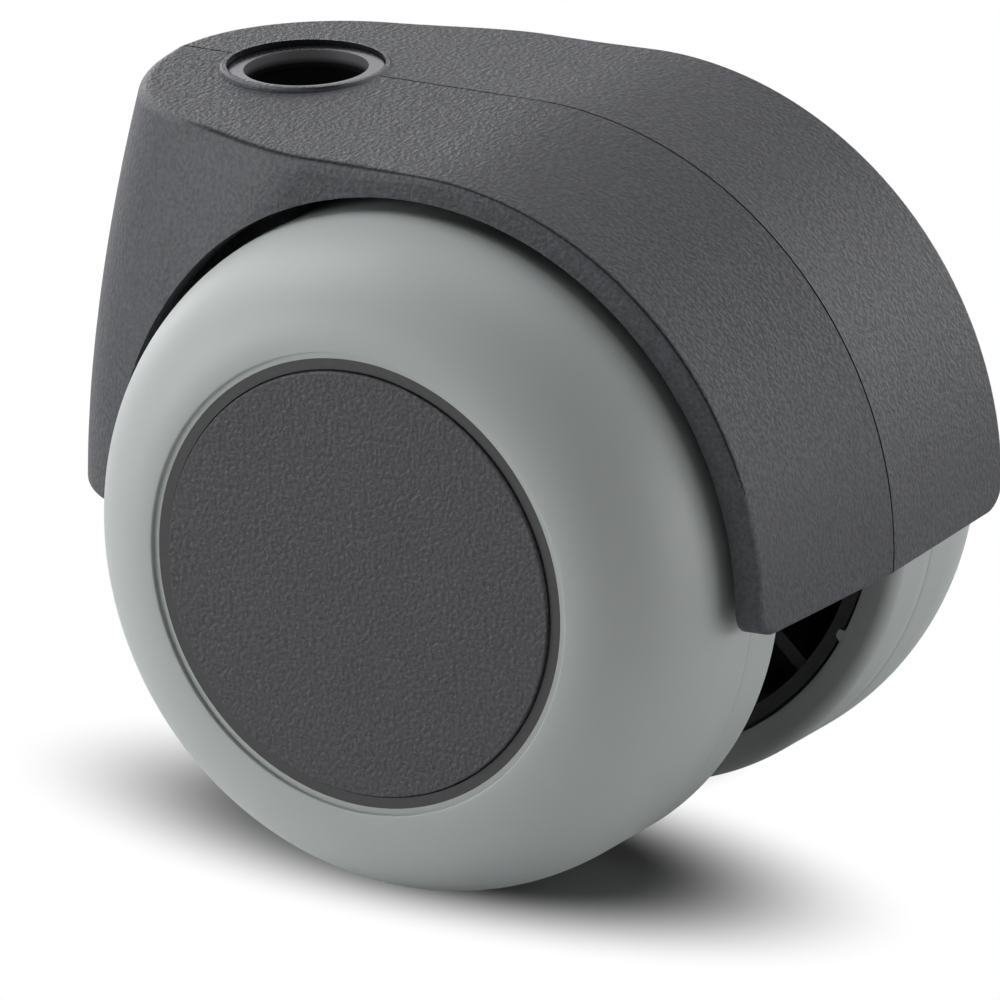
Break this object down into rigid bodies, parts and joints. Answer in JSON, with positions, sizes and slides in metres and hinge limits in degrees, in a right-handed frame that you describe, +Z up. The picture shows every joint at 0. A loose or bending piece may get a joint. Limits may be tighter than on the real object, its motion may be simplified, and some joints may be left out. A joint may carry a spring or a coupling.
{
  "type": "swivel caster",
  "caption": "Twin-wheel furniture swivel caster with a moulded hood over the wheels, soft tyres, flat hub caps and a stem bore in the hood's top.",
  "frame": {"origin": "on the swivel axis, at the seat face of the swivel bush in the hood's top", "axes": "+Z up along the swivel axis, +Y to the front (the nose round the stem), X along the wheel axle"},
  "size_m": [0.051, 0.0619, 0.0543],
  "materials": {
    "hood": "fine spark-eroded grain, dark grey",
    "tyre": "smooth satin, mid grey",
    "wheel_core": "moulded black",
    "wheel_cap": "fine grain, dark grey",
    "steel": "bright drawn",
    "bush_steel": "turned, satin",
    "bearing": "natural bearing plastic"
  },
  "bodies": {
    "stem_bush": {"swivel_bush": "bush_steel", "bush_collar": "bush_steel"},
    "housing": {"housing": "hood", "axle_pin": "steel", "left_axle_washer": "steel", "right_axle_washer": "steel", "left_axle_clip": "steel", "right_axle_clip": "steel"},
    "left_wheel": {"left_wheel_core": "wheel_core", "left_tyre": "tyre", "left_wheel_cap": "wheel_cap", "left_hub_bush": "bearing"},
    "right_wheel": {"right_wheel_core": "wheel_core", "right_tyre": "tyre", "right_wheel_cap": "wheel_cap", "right_hub_bush": "bearing"}
  },
  "joints": [
    {"name": "swivel", "type": "hinge", "parent": "stem_bush", "child": "housing", "pos_m": [0, 0, 0], "axis": [0, 0, 1], "continuous": true},
    {"name": "left_wheel_spin", "type": "hinge", "parent": "housing", "child": "left_wheel", "pos_m": [0, -0.0184, -0.02885], "axis": [1, 0, 0], "continuous": true},
    {"name": "right_wheel_spin", "type": "hinge", "parent": "housing", "child": "right_wheel", "pos_m": [0, -0.0184, -0.02885], "axis": [1, 0, 0], "continuous": true}
  ]
}
